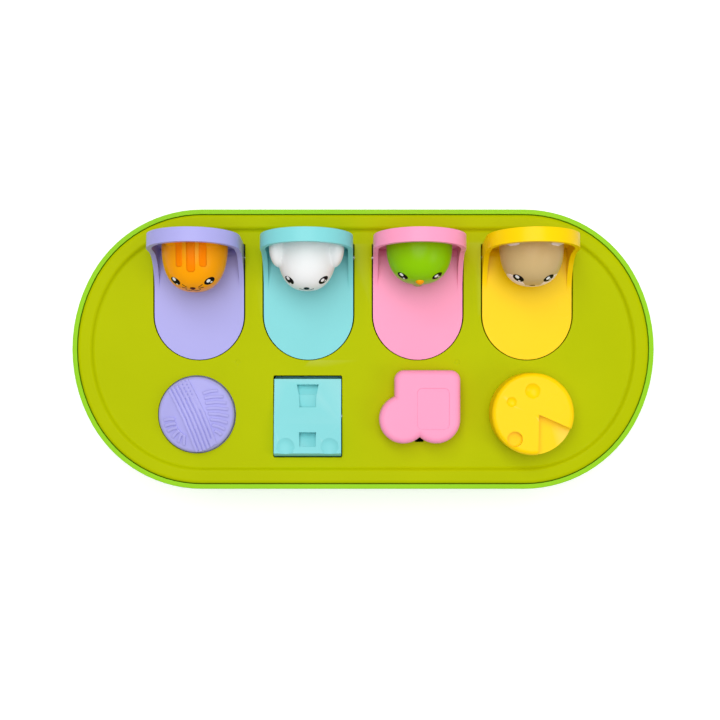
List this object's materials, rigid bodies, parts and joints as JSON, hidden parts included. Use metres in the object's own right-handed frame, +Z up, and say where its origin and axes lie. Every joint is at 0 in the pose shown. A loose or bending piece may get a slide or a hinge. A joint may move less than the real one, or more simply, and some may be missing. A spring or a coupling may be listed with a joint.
{
  "type": "pop up animal toy",
  "caption": "Child's pop-up toy: oval case with four sprung animal lids opened by a push button, a rocker, a slider and a round knob.",
  "frame": {"origin": "on the floor under the middle of the case", "axes": "+X to the right along the row of lids, +Y to the back where the lids are hinged, +Z up"},
  "size_m": [0.36, 0.173, 0.1389],
  "materials": {
    "green_case": "gloss",
    "lime_panel": "gloss",
    "lilac_plastic": "gloss",
    "aqua_plastic": "gloss",
    "pink_plastic": "gloss",
    "yellow_plastic": "gloss",
    "orange_plastic": "gloss",
    "white_plastic": "gloss",
    "green_plastic": "gloss",
    "tan_plastic": "gloss",
    "inner_plastic": "matte",
    "steel": "satin",
    "foot_rubber": "matte"
  },
  "bodies": {
    "case": {"base_tray": "green_case", "top_panel": "lime_panel", "rubber_feet": "foot_rubber", "case_screws": "steel", "rocker_pin": "steel", "catch_spring_lilac": "steel", "catch_spring_aqua": "steel", "catch_spring_pink": "steel", "catch_spring_yellow": "steel", "button_spring": "steel", "hinge_spring_lilac": "steel", "hinge_spring_aqua": "steel", "hinge_spring_pink": "steel", "hinge_spring_yellow": "steel"},
    "lid_lilac": {"hood_lilac": "lilac_plastic", "cat_head": "orange_plastic", "hinge_pin_lilac": "steel", "head_screw_lilac": "steel"},
    "catch_lilac": {"catch_lever_lilac": "inner_plastic"},
    "lid_aqua": {"hood_aqua": "aqua_plastic", "dog_head": "white_plastic", "hinge_pin_aqua": "steel", "head_screw_aqua": "steel"},
    "catch_aqua": {"catch_lever_aqua": "inner_plastic"},
    "lid_pink": {"hood_pink": "pink_plastic", "bird_head": "green_plastic", "hinge_pin_pink": "steel", "head_screw_pink": "steel", "bird_beak": "orange_plastic"},
    "catch_pink": {"catch_lever_pink": "inner_plastic"},
    "lid_yellow": {"hood_yellow": "yellow_plastic", "mouse_head": "tan_plastic", "hinge_pin_yellow": "steel", "head_screw_yellow": "steel"},
    "catch_yellow": {"catch_lever_yellow": "inner_plastic"},
    "button": {"push_button": "lilac_plastic"},
    "rocker": {"rocker": "aqua_plastic"},
    "slider": {"slider_knob": "pink_plastic", "slider_carriage": "inner_plastic", "slider_screw": "steel"},
    "dial": {"dial_knob": "yellow_plastic", "dial_cam": "inner_plastic", "dial_screw": "steel"}
  },
  "joints": [
    {"name": "lid_lilac_hinge", "type": "hinge", "parent": "case", "child": "lid_lilac", "pos_m": [-0.10155, 0.0572, 0.07538], "axis": [1, 0, 0], "range_deg": [0, 95.5], "stiffness_Nm_per_rad": 0.05, "springref_deg": -34.38, "deforming": ["hinge_spring_lilac"]},
    {"name": "lid_aqua_hinge", "type": "hinge", "parent": "case", "child": "lid_aqua", "pos_m": [-0.03385, 0.0572, 0.07538], "axis": [1, 0, 0], "range_deg": [0, 95.5], "stiffness_Nm_per_rad": 0.05, "springref_deg": -34.38, "deforming": ["hinge_spring_aqua"]},
    {"name": "lid_pink_hinge", "type": "hinge", "parent": "case", "child": "lid_pink", "pos_m": [0.03385, 0.0572, 0.07538], "axis": [1, 0, 0], "range_deg": [0, 95.5], "stiffness_Nm_per_rad": 0.05, "springref_deg": -34.38, "deforming": ["hinge_spring_pink"]},
    {"name": "lid_yellow_hinge", "type": "hinge", "parent": "case", "child": "lid_yellow", "pos_m": [0.10155, 0.0572, 0.07538], "axis": [1, 0, 0], "range_deg": [0, 95.5], "stiffness_Nm_per_rad": 0.05, "springref_deg": -34.38, "deforming": ["hinge_spring_yellow"]},
    {"name": "button_push", "type": "slide", "parent": "case", "child": "button", "axis": [0, 0, -1], "range_m": [0, 0.005], "stiffness_N_per_m": 300, "springref_m": -0.004, "deforming": ["button_spring"]},
    {"name": "rocker_press", "type": "hinge", "parent": "case", "child": "rocker", "pos_m": [-0.0343, -0.0417, 0.07638], "axis": [1, 0, 0], "range_deg": [0, 16], "stiffness_Nm_per_rad": 0.02, "springref_deg": -17.19},
    {"name": "slider_slide", "type": "slide", "parent": "case", "child": "slider", "axis": [0, -1, 0], "range_m": [0, 0.012], "stiffness_N_per_m": 40, "springref_m": -0.01},
    {"name": "dial_turn", "type": "hinge", "parent": "case", "child": "dial", "pos_m": [0.103, -0.0395, 0.08238], "axis": [0, 0, -1], "range_deg": [0, 75], "stiffness_Nm_per_rad": 0.02, "springref_deg": -28.65},
    {"name": "catch_lilac_turn", "type": "hinge", "parent": "case", "child": "catch_lilac", "pos_m": [-0.07755, -0.008, 0.008], "axis": [0, 0, 1], "range_deg": [0, 9.21], "deforming": ["catch_spring_lilac"]},
    {"name": "catch_aqua_turn", "type": "hinge", "parent": "case", "child": "catch_aqua", "pos_m": [-0.00985, -0.008, 0.008], "axis": [0, 0, 1], "range_deg": [0, 9.21], "deforming": ["catch_spring_aqua"]},
    {"name": "catch_pink_turn", "type": "hinge", "parent": "case", "child": "catch_pink", "pos_m": [0.05785, -0.008, 0.008], "axis": [0, 0, 1], "range_deg": [0, 9.21], "deforming": ["catch_spring_pink"]},
    {"name": "catch_yellow_turn", "type": "hinge", "parent": "case", "child": "catch_yellow", "pos_m": [0.12555, -0.008, 0.008], "axis": [0, 0, 1], "range_deg": [0, 9.21], "deforming": ["catch_spring_yellow"]}
  ],
  "couplings": [
    {"joint": "catch_lilac_turn", "follows": "button_push", "rad_per_m": 32.114},
    {"joint": "catch_aqua_turn", "follows": "rocker_press", "ratio": 0.575},
    {"joint": "catch_pink_turn", "follows": "slider_slide", "rad_per_m": 13.381},
    {"joint": "catch_yellow_turn", "follows": "dial_turn", "ratio": 0.12267}
  ]
}
